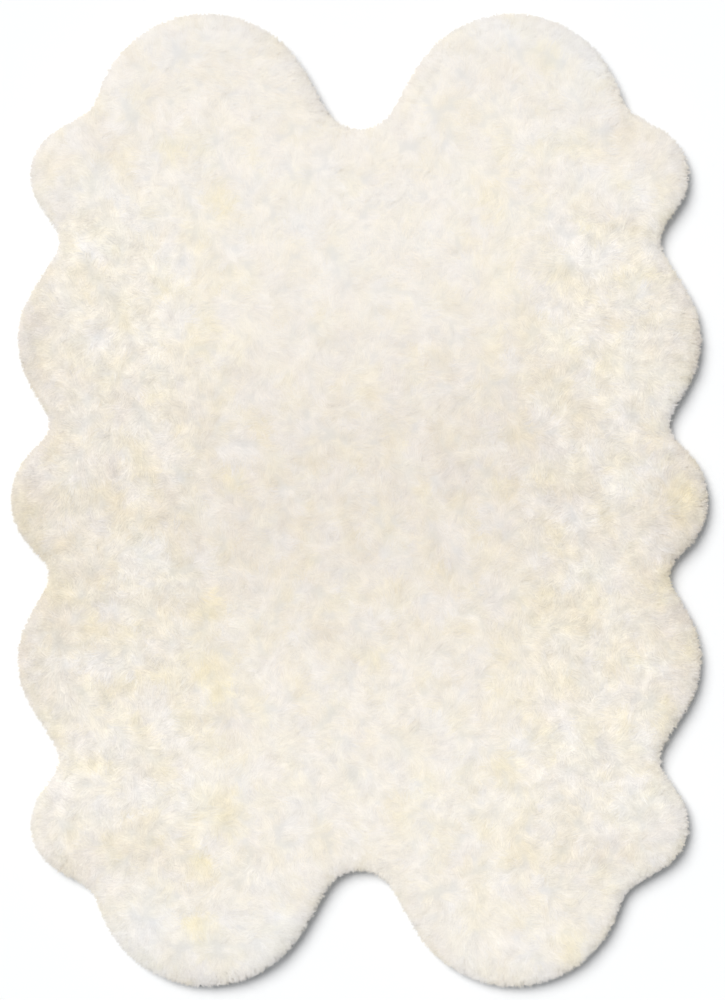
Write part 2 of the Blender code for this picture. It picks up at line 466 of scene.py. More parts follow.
class WoolSettings(PropertyGroup):
    """Sizes and colours of the wool."""

    lock_pitch: FloatProperty(
        name="Lock Pitch", description="Distance between the middles of two locks of wool",
        default=0.015, min=0.006, max=0.05, unit="LENGTH")
    strand_length: FloatProperty(
        name="Strand Length", description="Length of a strand of wool outside the underwool",
        default=0.028, min=0.01, max=0.08, unit="LENGTH")
    strand_width: FloatProperty(
        name="Strand Width", description="Width of a strand of wool at its middle",
        default=0.0013, min=0.0005, max=0.006, unit="LENGTH")
    strand_spacing: FloatProperty(
        name="Strand Spacing", description="Distance between the roots of two strands",
        default=0.0031, min=0.002, max=0.02, unit="LENGTH")
    underwool_depth: FloatProperty(
        name="Underwool Depth", description="How far the dense underwool lies below the tips",
        default=0.004, min=0.002, max=0.02, unit="LENGTH")
    translucency: FloatProperty(
        name="Translucency", description="Share of the light that passes between the fibres",
        default=0.90, min=0.0, max=1.0, subtype="FACTOR")
    ivory: FloatVectorProperty(
        name="Ivory", description="Colour of clean wool", subtype="COLOR",
        default=(0.863, 0.827, 0.781), min=0.0, max=1.0)
    golden: FloatVectorProperty(
        name="Golden", description="What its natural grease does to the colour of clean wool",
        subtype="COLOR", default=(1.000, 0.966, 0.792), min=0.0, max=1.0)
    dusty: FloatVectorProperty(
        name="Dusty", description="What dust does to the colour of clean wool",
        subtype="COLOR", default=(0.888, 0.864, 0.845), min=0.0, max=1.0)
    bleached: FloatVectorProperty(
        name="Bleached", description="Colour of sun-bleached wool", subtype="COLOR",
        default=(0.828, 0.812, 0.798), min=0.0, max=1.0)


class HideSettings(PropertyGroup):
    """Sizes and colours of the hides and of the thread that joins them."""

    setback: FloatProperty(
        name="Setback", description="How far the wool overhangs the cut edge of the hide",
        default=0.026, min=0.01, max=0.04, unit="LENGTH")
    stitch_pitch: FloatProperty(
        name="Stitch Pitch", description="Distance between two stitches of a seam",
        default=0.005, min=0.002, max=0.01, unit="LENGTH")
    stitch_width: FloatProperty(
        name="Stitch Width", description="How far a stitch reaches across the seam",
        default=0.0044, min=0.002, max=0.01, unit="LENGTH")
    thread_width: FloatProperty(
        name="Thread Width", description="Diameter of the waxed seam thread",
        default=0.0006, min=0.0003, max=0.002, unit="LENGTH")
    suede: FloatVectorProperty(
        name="Suede", description="Colour of the flesh side of the hide", subtype="COLOR",
        default=(0.800, 0.680, 0.500), min=0.0, max=1.0)
    thread: FloatVectorProperty(
        name="Thread", description="Colour of the seam thread", subtype="COLOR",
        default=(0.700, 0.620, 0.480), min=0.0, max=1.0)


class StudioSettings(PropertyGroup):
    """The floor, the light and the camera."""

    lens: FloatProperty(
        name="Lens", description="Focal length of the camera, in millimetres",
        default=135.0, min=20.0, max=400.0)
    picture_height: FloatProperty(
        name="Picture Height", description="Length of floor that fills the picture's height",
        default=1.8715, min=0.1, max=10.0, unit="LENGTH")
    key: FloatProperty(
        name="Key", description="Strength of the lamp over the upper left", default=2.80,
        min=0.0, max=20.0)
    key_lean: FloatProperty(
        name="Key Lean", description="How far the lamp leans from straight above",
        default=math.radians(39), min=0.0, max=math.radians(80), subtype="ANGLE")
    key_heading: FloatProperty(
        name="Key Heading", description="Direction from the rug to the lamp, seen from above",
        default=math.radians(134), min=0.0, max=math.tau, subtype="ANGLE")
    key_softness: FloatProperty(
        name="Key Softness", description="Apparent size of the lamp, seen from the rug",
        default=math.radians(32), min=0.0, max=math.radians(120), subtype="ANGLE")
    fill: FloatProperty(
        name="Fill", description="Strength of the light from all round", default=0.34,
        min=0.0, max=5.0)
    fill_tint: FloatVectorProperty(
        name="Fill Tint", description="Colour of the light from all round", subtype="COLOR",
        default=(0.93, 0.97, 1.00), min=0.0, max=1.0)
    floor: FloatVectorProperty(
        name="Floor", description="Colour of the floor", subtype="COLOR",
        default=(0.98, 0.98, 0.98), min=0.0, max=1.0)


# ---------------------------------------------------------------- materials


class NodeMaker:
    """Adds nodes to a tree, laid out from left to right, and joins them."""

    def __init__(self, tree):
        self.tree = tree
        self.count = 0

    def add(self, kind, settings=(), **inputs):
        """A node of one kind, with its settings and its inputs set or joined.

        An input is given by its name, with underscores for spaces, or as i0, i1 and so on.
        """
        node = self.tree.nodes.new(kind)
        node.location = (180 * (self.count // 3), -220 * (self.count % 3))
        self.count += 1
        for name, value in dict(settings).items():
            setattr(node, name, value)
        for name, value in inputs.items():
            is_number = name[0] == "i" and name[1:].isdigit()
            self.feed(node.inputs[int(name[1:]) if is_number else name.replace("_", " ")], value)
        return node

    def feed(self, socket, value):
        """Joins a socket to an output, or sets its plain value."""
        if isinstance(value, bpy.types.NodeSocket):
            self.tree.links.new(value, socket)
        else:
            socket.default_value = value

    def math(self, operation, first, second=0.0):
        """What one operation on two values puts out."""
        node = self.add("ShaderNodeMath", {"operation": operation}, i0=first, i1=second)
        return node.outputs["Value"]

    def mix(self, share, first, second, blend="MIX"):
        """The colour between two, or the first blended with the second."""
        kind = {"data_type": "RGBA", "blend_type": blend}
        node = self.add("ShaderNodeMix", kind, i0=share, i6=first, i7=second)
        return node.outputs[2]

    def group(self, group, **inputs):
        """What a shader group puts out."""
        return self.add("ShaderNodeGroup", {"node_tree": group}, **inputs).outputs[0]

    def attribute(self, name):
        """A vector that the mesh carries."""
        return self.add("ShaderNodeAttribute", {"attribute_name": name}).outputs["Vector"]

    def object_place(self):
        """The place on the rug."""
        return self.add("ShaderNodeTexCoord").outputs["Object"]


def roughen(nodes, shader, **grain):
    """Gives a material's shader an uneven roughness."""
    nodes.feed(shader["Roughness"], nodes.group(shared_group(soft_grain), **grain))


def emboss(nodes, shader, **relief):
    """Gives a material's shader a relief."""
    bump = nodes.add("ShaderNodeBump", **relief)
    nodes.feed(shader["Normal"], bump.outputs["Normal"])


def new_group(name, inputs, output, kind):
    """An empty shader group with named sockets: its tree, nodes, inlets and outlet."""
    tree = bpy.data.node_groups.new(name, "ShaderNodeTree")
    for label, inlet_kind in inputs:
        tree.interface.new_socket(label, in_out="INPUT", socket_type="NodeSocket" + inlet_kind)
    tree.interface.new_socket(output, in_out="OUTPUT", socket_type="NodeSocket" + kind)
    nodes = NodeMaker(tree)
    return tree, nodes, nodes.add("NodeGroupInput").outputs, nodes.add("NodeGroupOutput").inputs[0]


def soft_grain():
    """Group: fine uneven grain around a middle value, for colour, roughness and relief."""
    tree, nodes, inlet, outlet = new_group(
        "Soft Grain",
        (("Place", "Vector"), ("Size", "Float"), ("Middle", "Float"), ("Contrast", "Float")),
        "Value", "Float")
    scale = nodes.math("DIVIDE", 1.0, inlet["Size"])
    noise = nodes.add("ShaderNodeTexNoise", Vector=inlet["Place"], Scale=scale, Detail=3.0)
    swing = nodes.math("SUBTRACT", noise.outputs["Fac"], 0.5)
    swing = nodes.math("MULTIPLY", swing, inlet["Contrast"])
    nodes.feed(outlet, nodes.math("ADD", swing, inlet["Middle"]))
    return tree


def fleece_colouring():
    """Group: clean wool turned golden, dusty or bleached, and made lighter or darker."""
    tree, nodes, inlet, outlet = new_group(
        "Fleece Colouring",
        (("Tint", "Vector"), ("Paler", "Float"), ("Shade", "Float"), ("Ivory", "Color"),
         ("Golden", "Color"), ("Dusty", "Color"), ("Bleached", "Color")),
        "Colour", "Color")
    golden, dusty, bleached = nodes.add("ShaderNodeSeparateXYZ", Vector=inlet["Tint"]).outputs
    bleached = nodes.math("ADD", bleached, inlet["Paler"])
    colour = nodes.mix(dusty, inlet["Ivory"], inlet["Dusty"], "MULTIPLY")
    colour = nodes.mix(bleached, colour, inlet["Bleached"])
    colour = nodes.mix(golden, colour, inlet["Golden"], "MULTIPLY")
    gain = nodes.math("ADD", inlet["Shade"], 1.0)
    shaded = nodes.add("ShaderNodeVectorMath", {"operation": "SCALE"}, Vector=colour, Scale=gain)
    nodes.feed(outlet, shaded.outputs["Vector"])
    return tree


def shared_group(build):
    """A node group that is built the first time it is asked for."""
    name = build.__name__.replace("_", " ").title()
    return bpy.data.node_groups.get(name) or build()


def new_material(name, **constants):
    """A material with a Principled shader: itself, its nodes and the shader's inputs."""
    material = bpy.data.materials.new(name)
    material.use_nodes = True
    shader = material.node_tree.nodes["Principled BSDF"]
    for label, value in constants.items():
        shader.inputs[label.replace("_", " ")].default_value = value
    return material, NodeMaker(material.node_tree), shader.inputs


def rgba(colour):
    """A colour as a shader's socket takes it."""
    return (*colour, 1.0)


def wool_material(name, settings, relief, shade):
    """Wool coloured by each strand's tint and shade, with crimp along the strand."""
    material, nodes, shader = new_material(
        name, Specular_IOR_Level=0.25, Sheen_Weight=0.08, Sheen_Roughness=0.6)
    grain = shared_group(soft_grain)
    place = nodes.object_place()
    strand = nodes.add("ShaderNodeSeparateXYZ", Vector=nodes.attribute("strand")).outputs
    contrast = nodes.math("MULTIPLY", strand["X"], CLOUD_CONTRAST)
    uneven = nodes.group(grain, Place=place, Size=CLOUD_SIZE, Middle=shade, Contrast=contrast)
    contrast = nodes.math("MULTIPLY", strand["X"], FLECK_CONTRAST)
    fleck = nodes.group(grain, Place=place, Size=FLECK_SIZE, Middle=0.0, Contrast=contrast)
    lightness = nodes.math("ADD", nodes.math("ADD", strand["Z"], uneven), fleck)
    colour = nodes.group(
        shared_group(fleece_colouring), Tint=nodes.attribute("tint"),
        Paler=nodes.math("MULTIPLY", fleck, FLECK_PALENESS),
        Shade=lightness, Ivory=rgba(settings.ivory),
        Golden=rgba(settings.golden), Dusty=rgba(settings.dusty),
        Bleached=rgba(settings.bleached))
    nodes.feed(shader["Base Color"], colour)
    roughen(nodes, shader, Place=place, Size=0.006, Middle=0.82, Contrast=0.2)
    crimp = nodes.math("SINE", nodes.math("MULTIPLY", strand["Y"], math.tau / CRIMP_PITCH))
    fibres = nodes.group(grain, Place=place, Size=0.0016, Middle=0.0, Contrast=2.0)
    height = nodes.math("ADD", crimp, fibres)
    emboss(nodes, shader, Strength=relief, Distance=CRIMP_DEPTH, Height=height)
    return material


def let_light_through(material, share):
    """Lets a share of the light from the lamps pass, as it does between the fibres of wool."""
    tree = material.node_tree
    nodes = NodeMaker(tree)
    passing = nodes.add("ShaderNodeLightPath").outputs["Is Shadow Ray"]
    clear = nodes.add("ShaderNodeBsdfTransparent", Color=(share, share, share, 1.0)).outputs["BSDF"]
    solid = tree.nodes["Principled BSDF"].outputs["BSDF"]
    mixed = nodes.add("ShaderNodeMixShader", i0=passing, i1=solid, i2=clear)
    nodes.feed(tree.nodes["Material Output"].inputs["Surface"], mixed.outputs["Shader"])


def suede_material(settings):
    """Tanned flesh side of the hide: mottled, brushed and dull."""
    material, nodes, shader = new_material(
        "Suede Hide", Specular_IOR_Level=0.2, Sheen_Weight=0.25, Sheen_Roughness=0.5)
    grain = shared_group(soft_grain)
    place = nodes.object_place()
    mottle = nodes.group(grain, Place=place, Size=0.06, Middle=0.5, Contrast=1.6)
    nap = nodes.group(grain, Place=place, Size=0.004, Middle=0.5, Contrast=1.0)
    share = nodes.math("MULTIPLY", nodes.math("ADD", mottle, nap), 0.5)
    deep = np.array(settings.suede) * DEEP_SHARE
    nodes.feed(shader["Base Color"], nodes.mix(share, rgba(settings.suede), rgba(deep)))
    roughen(nodes, shader, Place=place, Size=0.004, Middle=0.88, Contrast=0.2)
    emboss(nodes, shader, Strength=0.4, Distance=0.0003, Height=nap)
    return material


def thread_material(settings):
    """Waxed linen thread with fine fibres."""
    material, nodes, shader = new_material("Seam Thread", Specular_IOR_Level=0.4)
    grain = shared_group(soft_grain)
    place = nodes.object_place()
    fleck = nodes.group(grain, Place=place, Size=0.0015, Middle=0.5, Contrast=1.5)
    deep = np.array(settings.thread) * DEEP_SHARE
    nodes.feed(shader["Base Color"], nodes.mix(fleck, rgba(settings.thread), rgba(deep)))
    roughen(nodes, shader, Place=place, Size=0.002, Middle=0.6, Contrast=0.3)
    emboss(nodes, shader, Strength=0.5, Distance=0.0001, Height=fleck)
    return material


# ---------------------------------------------------------------- meshes and pieces


def mesh_from_arrays(name, vertices, faces):
    """A smooth mesh from arrays of corners and of triangles."""
    mesh = bpy.data.meshes.new(name)
    mesh.vertices.add(len(vertices))
    mesh.vertices.foreach_set("co", vertices.astype(np.float32).ravel())
    mesh.loops.add(faces.size)
    mesh.loops.foreach_set("vertex_index", faces.astype(np.int32).ravel())
    mesh.polygons.add(len(faces))
    mesh.polygons.foreach_set("loop_start", np.arange(0, faces.size, 3, dtype=np.int32))
    mesh.polygons.foreach_set("use_smooth", np.ones(len(faces), bool))
    mesh.update(calc_edges=True)
    if mesh.validate():
        raise RuntimeError(name + " came out with bad faces")
    return mesh


def set_vectors(mesh, name, values):
    """Stores one vector for each point of a mesh."""
    layer = mesh.attributes.new(name, "FLOAT_VECTOR", "POINT")
    layer.data.foreach_set("vector", values.astype(np.float32).ravel())


def set_bake_map(mesh, places):
    """Lays the mesh out flat, as if the wool were combed out on the plan."""
    low, high = places.min(0), places.max(0)
    spread = 0.01 + 0.98 * (places - low) / (high - low)
    corner = np.empty(len(mesh.loops), np.int32)
    mesh.loops.foreach_get("vertex_index", corner)
    layer = mesh.uv_layers.new(name="OFBake")
    layer.uv.foreach_set("vector", spread[corner].astype(np.float32).ravel())


def add_piece(mesh, material, replaced=None):
    """Puts a mesh into the scene as a piece of the rug."""
    mesh.materials.append(material)
    piece = bpy.data.objects.new(mesh.name, mesh)
    bpy.context.scene.collection.objects.link(piece)
    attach(piece, "root")
    if replaced:
        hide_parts(replaced)
    return piece


def with_height(places, heights):
    """Plan places raised to heights, none above the longest tip or under the floor."""
    return np.column_stack([places, np.clip(heights, LOWEST_TIP, HIGHEST_TIP)])


def ribbon_mesh(name, spine, surface, scatter, width, tint, shade, flat):
    """Tapered ribbons, each of two triangles and a pointed third, as one mesh.

    spine holds the places of the root, middle and tip of each ribbon, and flat the same
    places laid out on the plan; surface is the pile's own normal at the middle, which
    scatter turns up. shade holds how much lighter the root, middle and tip are.
    """
    count = len(spine)
    root, middle, tip = spine[:, 0], spine[:, 1], spine[:, 2]
    across = unit(np.cross(tip - root, surface))
    side = np.array([-1.0, 1.0, -1.0, 1.0, 0.0])
    level = np.array([0, 0, 1, 1, 2])
    half = (np.outer(width, STRAND_TAPER)[:, level] * side / 2)[..., None]
    vertices = spine[:, level] + across[:, None] * half
    run = unit(np.stack([middle - root, tip - root, tip - middle], 1))[:, level]
    lit = unit(surface + (0.0, 0.0, scatter))[:, None]
    normal = lit * PILE_SHARE + np.cross(across[:, None], run) * (1 - PILE_SHARE)
    normal = unit(unit(normal) + across[:, None] * (side * ROUNDNESS)[:, None])
    corner = np.array([[0, 1, 3], [0, 3, 2], [2, 3, 4]])
    faces = (np.arange(count)[:, None, None] * len(side) + corner).reshape(-1, 3)
    mesh = mesh_from_arrays(name, vertices.reshape(-1, 3), faces)
    lengths = np.linalg.norm(np.diff(spine, axis=1), axis=2)
    along = np.column_stack([np.zeros(count), lengths.cumsum(1)])[:, level]
    shades = shade[:, level]
    flecked = np.repeat(flecking(spine[:, 0, :2]), len(side)).reshape(along.shape)
    set_vectors(mesh, "strand", np.stack([flecked, along, shades], -1))
    set_vectors(mesh, "tint", np.repeat(tint, len(side), 0))
    run_flat = unit(flat[:, 2] - flat[:, 0])
    across_flat = np.stack([run_flat[:, 1], -run_flat[:, 0]], 1)
    set_bake_map(mesh, (flat[:, level] + across_flat[:, None] * half).reshape(-1, 2))
    mesh.normals_split_custom_set_from_vertices(normal.reshape(-1, 3))
    return mesh


# ---------------------------------------------------------------- long wool


class Locks:
    """Locks of wool on an uneven triangular grid over the plan, each with its own habit.

    They run on over the seams, where the wool of two pelts is brushed together.
    """

    JITTER = 0.38        # how far a lock may lie from its place in the grid, in steps of it
    LENGTHS = (0.75, 1.2)    # least and greatest length, set against the usual one

    def __init__(self, seed, pitch):
        self.pitch = np.array([pitch, pitch * math.sqrt(0.75)])
        reach = OUTLINE.points.max(0) + PLAN.MARGIN
        self.low = -reach
        columns, rows = (2 * reach / self.pitch).astype(int) + 2
        row, column = np.mgrid[0:rows, 0:columns]
        random = np.random.default_rng(seed)
        middle = np.stack([column + 0.5 * (row % 2), row], -1)
        middle = middle + random.uniform(-self.JITTER, self.JITTER, middle.shape)
        self.shape = (rows, columns)
        self.middle = (self.low + middle * self.pitch).reshape(-1, 2)
        count = len(self.middle)
        self.turn = random.normal(0.0, 1.0, count)
        self.length = random.uniform(*self.LENGTHS, count)
        self.lift = random.normal(0.0, 1.0, count)
        self.shade = random.normal(0.0, 1.0, count)
        self.tint = random.normal(0.0, 1.0, (count, 3))

    def nearest(self, places):
        """Number of the lock that each place belongs to."""
        cell = (places - self.low) / self.pitch
        row = np.round(cell[:, 1]).astype(int)
        numbers = []
        for row_step in (-1, 0, 1):
            at_row = np.clip(row + row_step, 0, self.shape[0] - 1)
            column = np.round(cell[:, 0] - 0.5 * (at_row % 2)).astype(int)
            for column_step in (-1, 0, 1):
                at_column = np.clip(column + column_step, 0, self.shape[1] - 1)
                numbers.append(at_row * self.shape[1] + at_column)
        numbers = np.stack(numbers)
        distance = ((self.middle[numbers] - places) ** 2).sum(2)
        return numbers[distance.argmin(0), np.arange(len(places))]


SWIRLS = ((Ripple(40, 0.24), 2.4), (Ripple(41, 0.085), 1.0))
EDGE_PULL = 2.6          # how strongly the wool combs outwards at the edge
EDGE_PULLED = (0.015, 0.11)  # distances in from it between which that fades

ROOTED_IN = 0.6          # where the top wool starts, as a share of the rim's reach
ROOT_DEPTH = 0.002       # how deep strands are rooted in the underwool
LOCK_TURN = 0.42         # spread of the locks' headings about the combing, in radians
LOCK_REACH = 0.95        # where a lock comes to its point, set against its length
LOCK_LIFT = 0.0007       # spread of the locks' heights
STRAND_TURN = 0.30       # spread of the strands' headings about their lock's, in radians
STRAND_SWAY = 0.0018     # spread of their sideways bend
STRAND_MIDDLE = 0.42     # where along it a strand is widest
STRAND_LENGTHS = (0.75, 1.15)    # set against the lock's
STRAND_WIDTHS = (0.75, 1.25)     # set against the usual one
TO_LOCK = (0.25, 0.60)   # how far a strand's tip is drawn to the lock's point
MIDDLE_RISE = (-0.0024, 0.0002)  # how far a strand's middle stands above the pile's surface
TIP_RISE = (-0.0030, 0.0002)     # and its tip
LEAST_TIP_INSET = 0.002  # how near the rim's widest line a tip may come

# Spread of lightness from lock to lock and strand to strand: the least, and how much more it is
# where the wool is flecked.
LOCK_SHADING = (0.005, 0.010)
STRAND_SHADING = (0.005, 0.038)
FRINGE_SHADING = (0.010, 0.034)
LOCK_TINTING = 0.04      # spread of tint from lock to lock


def combing(places):
    """The direction in plan in which the wool lies: in swirls, and outwards near the edge."""
    heading = sum(swing * swirl(places) for swirl, swing in SWIRLS)
    swirling = np.stack([np.cos(heading), np.sin(heading)], 1)
    pull = EDGE_PULL * (1.0 - smooth_step(PLAN.inset_at(places), *EDGE_PULLED))
    return unit(swirling + PLAN.outward(places) * pull[:, None])


def scattered_roots(spacing, sides, least_inset, random):
    """Roots of strands scattered evenly over one pelt, in from the outline by a least inset."""
    reach = OUTLINE.points.max(0)
    x, y = (np.arange(spacing / 2, size, spacing) for size in reach)
    places = np.stack(np.meshgrid(x, y), -1).reshape(-1, 2)
    places = np.abs(places + random.uniform(-0.5, 0.5, places.shape) * spacing)
    return (places * sides)[PLAN.inset_at(places) > least_inset]


def kept_inside(places, least_inset):
    """Plan places, drawn back in where they lie out past a least inset."""
    short = np.maximum(least_inset - PLAN.inset_at(places), 0.0)
    return places - unit(PLAN.outward(places)) * short[:, None]


def shading(spread, flecked, chance):
    """Lightness by chance, more uneven where the wool is flecked."""
    least, more = spread
    return (least + more * flecked) * chance


def top_wool(pelt, locks, settings):
    """The long wool over the flat of one pelt, in locks that lie over on the pile."""
    sides = pelt_sides(pelt)
    random = np.random.default_rng(100 + PELTS.index(pelt))
    root = scattered_roots(settings.strand_spacing, sides, RIM_REACH * ROOTED_IN, random)
    count = len(root)
    lock = locks.nearest(root)
    lock_middle = locks.middle[lock]
    lock_way = turned(combing(lock_middle), LOCK_TURN * locks.turn[lock])
    lock_length = settings.strand_length * locks.length[lock]
    lock_tip = lock_middle + lock_way * (lock_length * LOCK_REACH)[:, None]
    way = turned(lock_way, random.normal(0.0, STRAND_TURN, count))
    length = lock_length * random.uniform(*STRAND_LENGTHS, count)
    tip = root + way * length[:, None]
    tip = tip + (lock_tip - tip) * random.uniform(*TO_LOCK, count)[:, None]
    tip = kept_inside(tip, LEAST_TIP_INSET)
    sway = random.normal(0.0, STRAND_SWAY, count)
    middle = root + (tip - root) * STRAND_MIDDLE + turned(way, math.pi / 2) * sway[:, None]
    lift = LOCK_LIFT * locks.lift[lock]
    root_height = pile_height(root) - settings.underwool_depth - ROOT_DEPTH
    middle_height = pile_height(middle) + lift + random.uniform(*MIDDLE_RISE, count)
    tip_height = pile_height(tip) + lift + random.uniform(*TIP_RISE, count)
    spine = np.stack([with_height(root, root_height), with_height(middle, middle_height),
                      with_height(tip, tip_height)], 1)
    width = settings.strand_width * random.uniform(*STRAND_WIDTHS, count)
    flecked = flecking(root)
    shade = shading(LOCK_SHADING, flecked, locks.shade[lock])
    shade += shading(STRAND_SHADING, flecked, random.normal(0.0, 1.0, count))
    # STRAND_SHADES darkens each root and lightens each tip: the dark root is partly painted shade deep
    # in the pile.
    shade = shade[:, None] + STRAND_SHADES
    tint = np.clip(wool_tint(root) + LOCK_TINTING * locks.tint[lock], 0.0, 1.0)
    return ribbon_mesh("wool_" + pelt, spine, pile_normal(middle), SCATTER, width, tint, shade,
                       np.stack([root, middle, tip], 1))


# ---------------------------------------------------------------- fringe

FRINGE_FOOT = -0.015     # how far round the rim the fringe is rooted, below its widest line
FRINGE_TOP = 0.050       # and above it
TUFT_TIERS = 8
TUFT_PITCH = 0.32        # distance between two tufts, set against that between two locks
TUFT_GROUP = 2.7         # size of a group of tufts, set against one tuft
FRINGE_SPACING = 0.84    # distance between two strands of the fringe, set against the top wool
FRINGE_SHADE = -0.010    # how much lighter the fringe is than the wool on the top
FRINGE_SCATTER = 7.0     # how far its normals turn up
FRINGE_CLEARNESS = 0.90  # how well light passes the crowded fringe, set against the top wool
FRINGE_LENGTHS = (0.25, 0.55)    # set against a strand of the top wool
FRINGE_WIDTHS = (0.7, 1.1)       # likewise
FRINGE_MIDDLE = (0.45, 0.40)     # where along it a strand is widest: round the rug, and down
MIDDLE_DROP = 0.0015     # how much nearer the rim it then lies than a tip
FRINGE_ROOT = 0.95       # how deep strands are rooted, set against the underwool's depth

# Distances below the rim's widest line, or above it where they are negative, between which
# tufts come to stand out, and between which their lightness grows uneven and their roots deep.
STANDING = (-0.020, -0.004)
HANGING = (-0.012, 0.002)
CALM_SEAM = 0.03         # how near a seam tufts stand out less, and at it not at all

# What chance gives to a tuft, a group of tufts, or one strand.
TUFT_AIM = 0.2           # along the rim, in steps from tuft to tuft
TUFT_LEAN = 0.004        # of the tips, along the rim
STRAND_LEAN = 0.30       # of one strand, set against its length
TUFT_OUT = 0.0016        # outwards
GROUP_OUT = 0.0013
STRAND_OUT = 0.0010
TUFT_SHADE = 0.014
GROUP_SHADE = 0.022
GROUP_TINT = 0.05
TO_TUFT = (0.10, 0.50)   # how far a strand's tip is drawn to its tuft's

TIP_OUT = (-0.003, 0.0060)       # least and most that a tip stands out from the rim
USUAL_OUT = 0.0004               # how far it does without chance
TUFTS_BACK = 0.0003              # and how far tufts lie back, away from the seams
TUFT_POINT = (0.0024, 0.0025)    # how far a tuft's middle stands out, and its sides lie back
MIDDLE_OUT = 0.001               # most that a tip takes its strand's middle out with it
STANDING_RISE = 0.55             # how much less a standing tuft droops
STANDING_LEAN = 1.2              # how much a strand leans sideways, less the standing
# Below the rim's widest line the roots are darkened more: painted shade in the gaps between the
# hanging tufts. The tufts' lightness there also varies more, partly standing in for their shading.
HANGING_SHADE = (0.7, 1.3)       # how uneven tufts are above, and how much more so below
HANGING_ROOTS = 2.0              # how much deeper the shade of the roots is below


def rim_place(along, round_rim, stand_off, sides):
    """Places on one pelt's rim, in space and unrolled on the plan, and the rim's normals."""
    base, outward = OUTLINE.at(along)
    inset, height, part_out, part_up = RIM.at(round_rim)
    plan = base + outward * (part_out * stand_off - inset)[:, None]
    normal = np.column_stack([outward * part_out[:, None] * sides, part_up])
    unrolled = base - outward * round_rim[:, None]
    return with_height(plan * sides, height + part_up * stand_off), normal, unrolled * sides


def fringe(pelt, settings):
    """The wool round one pelt's rim, which droops over the edge in pointed tufts."""
    sides = pelt_sides(pelt)
    random = np.random.default_rng(200 + PELTS.index(pelt))
    spacing = settings.strand_spacing * FRINGE_SPACING
    grid = np.meshgrid(np.arange(spacing / 2, OUTLINE.length, spacing),
                       np.arange(FRINGE_FOOT, FRINGE_TOP, spacing))
    along, round_rim = (values.ravel() for values in grid)
    count = len(along)
    along = along + random.uniform(-0.5, 0.5, count) * spacing
    round_rim = round_rim + random.uniform(-0.5, 0.5, count) * spacing
    pitch = settings.lock_pitch * TUFT_PITCH
    group = TUFT_GROUP * pitch
    tier_depth = (FRINGE_TOP - FRINGE_FOOT) / TUFT_TIERS
    tier = np.clip((round_rim - FRINGE_FOOT) // tier_depth, 0, TUFT_TIERS - 1).astype(int)

    def by_tuft(size, spread):
        """One chance value for every tuft of a size, as its strands have it."""
        tufts = int(OUTLINE.length / size) + 2
        tuft = np.clip(np.round(along / size).astype(int), 0, tufts - 1)
        return random.normal(0.0, spread, (TUFT_TIERS, tufts))[tier, tuft]

    aim = (np.round(along / pitch) + by_tuft(pitch, TUFT_AIM)) * pitch
    drawn = random.uniform(*TO_TUFT, count)
    length = settings.strand_length * random.uniform(*FRINGE_LENGTHS, count)
    stand = smooth_step(-round_rim, *STANDING)
    low = smooth_step(-round_rim, *HANGING)
    tuft_out = by_tuft(pitch, TUFT_OUT) + by_tuft(group, GROUP_OUT) * stand - TUFTS_BACK
    to_seam = np.minimum(along, OUTLINE.length - along)
    tuft_out *= smooth_step(to_seam, 0.0, CALM_SEAM)
    tuft_lean = by_tuft(pitch, TUFT_LEAN)
    lean = random.normal(0.0, STRAND_LEAN, count) * length * (STANDING_LEAN - stand)
    tip_along = along + (aim - along) * drawn + tuft_lean + lean
    tip_round = round_rim - length * (1.0 - STANDING_RISE * stand)
    from_tuft = np.abs(along - aim) / pitch
    tip_out = USUAL_OUT + tuft_out + (TUFT_POINT[0] - TUFT_POINT[1] * from_tuft) * stand
    tip_out = np.clip(tip_out + random.normal(0.0, STRAND_OUT, count), *TIP_OUT)
    middle_along = along + (tip_along - along) * FRINGE_MIDDLE[0]
    middle_round = round_rim + (tip_round - round_rim) * FRINGE_MIDDLE[1]
    middle_out = np.minimum(tip_out, MIDDLE_OUT) - MIDDLE_DROP
    root_out = np.full(count, -FRINGE_ROOT * settings.underwool_depth)
    root, _, root_flat = rim_place(along, round_rim, root_out, sides)
    middle, surface, middle_flat = rim_place(middle_along, middle_round, middle_out, sides)
    tip, _, tip_flat = rim_place(tip_along, tip_round, tip_out, sides)
    width = settings.strand_width * random.uniform(*FRINGE_WIDTHS, count)
    shade = by_tuft(pitch, TUFT_SHADE) + by_tuft(group, GROUP_SHADE)
    chance = random.normal(0.0, 1.0, count)
    shade += shading(FRINGE_SHADING, flecking(root[:, :2]), chance)
    shade = shade * (HANGING_SHADE[0] + HANGING_SHADE[1] * low) + FRINGE_SHADE
    # Roots darker than tips, the more so on the hanging tufts: painted shade deep in the pile and
    # between the tufts.
    shade = shade[:, None] + STRAND_SHADES * (1.0 + HANGING_ROOTS * low[:, None])
    tint = wool_tint(root[:, :2]) + by_tuft(group, GROUP_TINT)[:, None]
    return ribbon_mesh("fringe_" + pelt, np.stack([root, middle, tip], 1), surface,
                       FRINGE_SCATTER, width, np.clip(tint, 0.0, 1.0), shade,
                       np.stack([root_flat, middle_flat, tip_flat], 1))


# ---------------------------------------------------------------- underwool, hides and thread

UNDERWOOL_STEPS = (160, 34, 42)    # points round the outline, and along each of the two seams
UNDERWOOL_RINGS = (4, 6)     # steps up to the rim's widest line, and on to the top
UNDERWOOL_PITCH = (0.009, 0.045)     # distance between points on its top, and underneath
RIM_UNDERWOOL = 0.50     # how deep the underwool lies at the rim, set against the top
UNDERWOOL_LUMPS = ((Ripple(60, 0.035), 0.0010), (Ripple(70, 0.016), 0.0006))
HIDE_STEPS = (200, 20, 24)
HIDE_PITCH = 0.03
GROOVE_WIDTH = 0.003     # the groove under a seam, in which its stitches lie
GROOVE_DEPTH = 0.0009


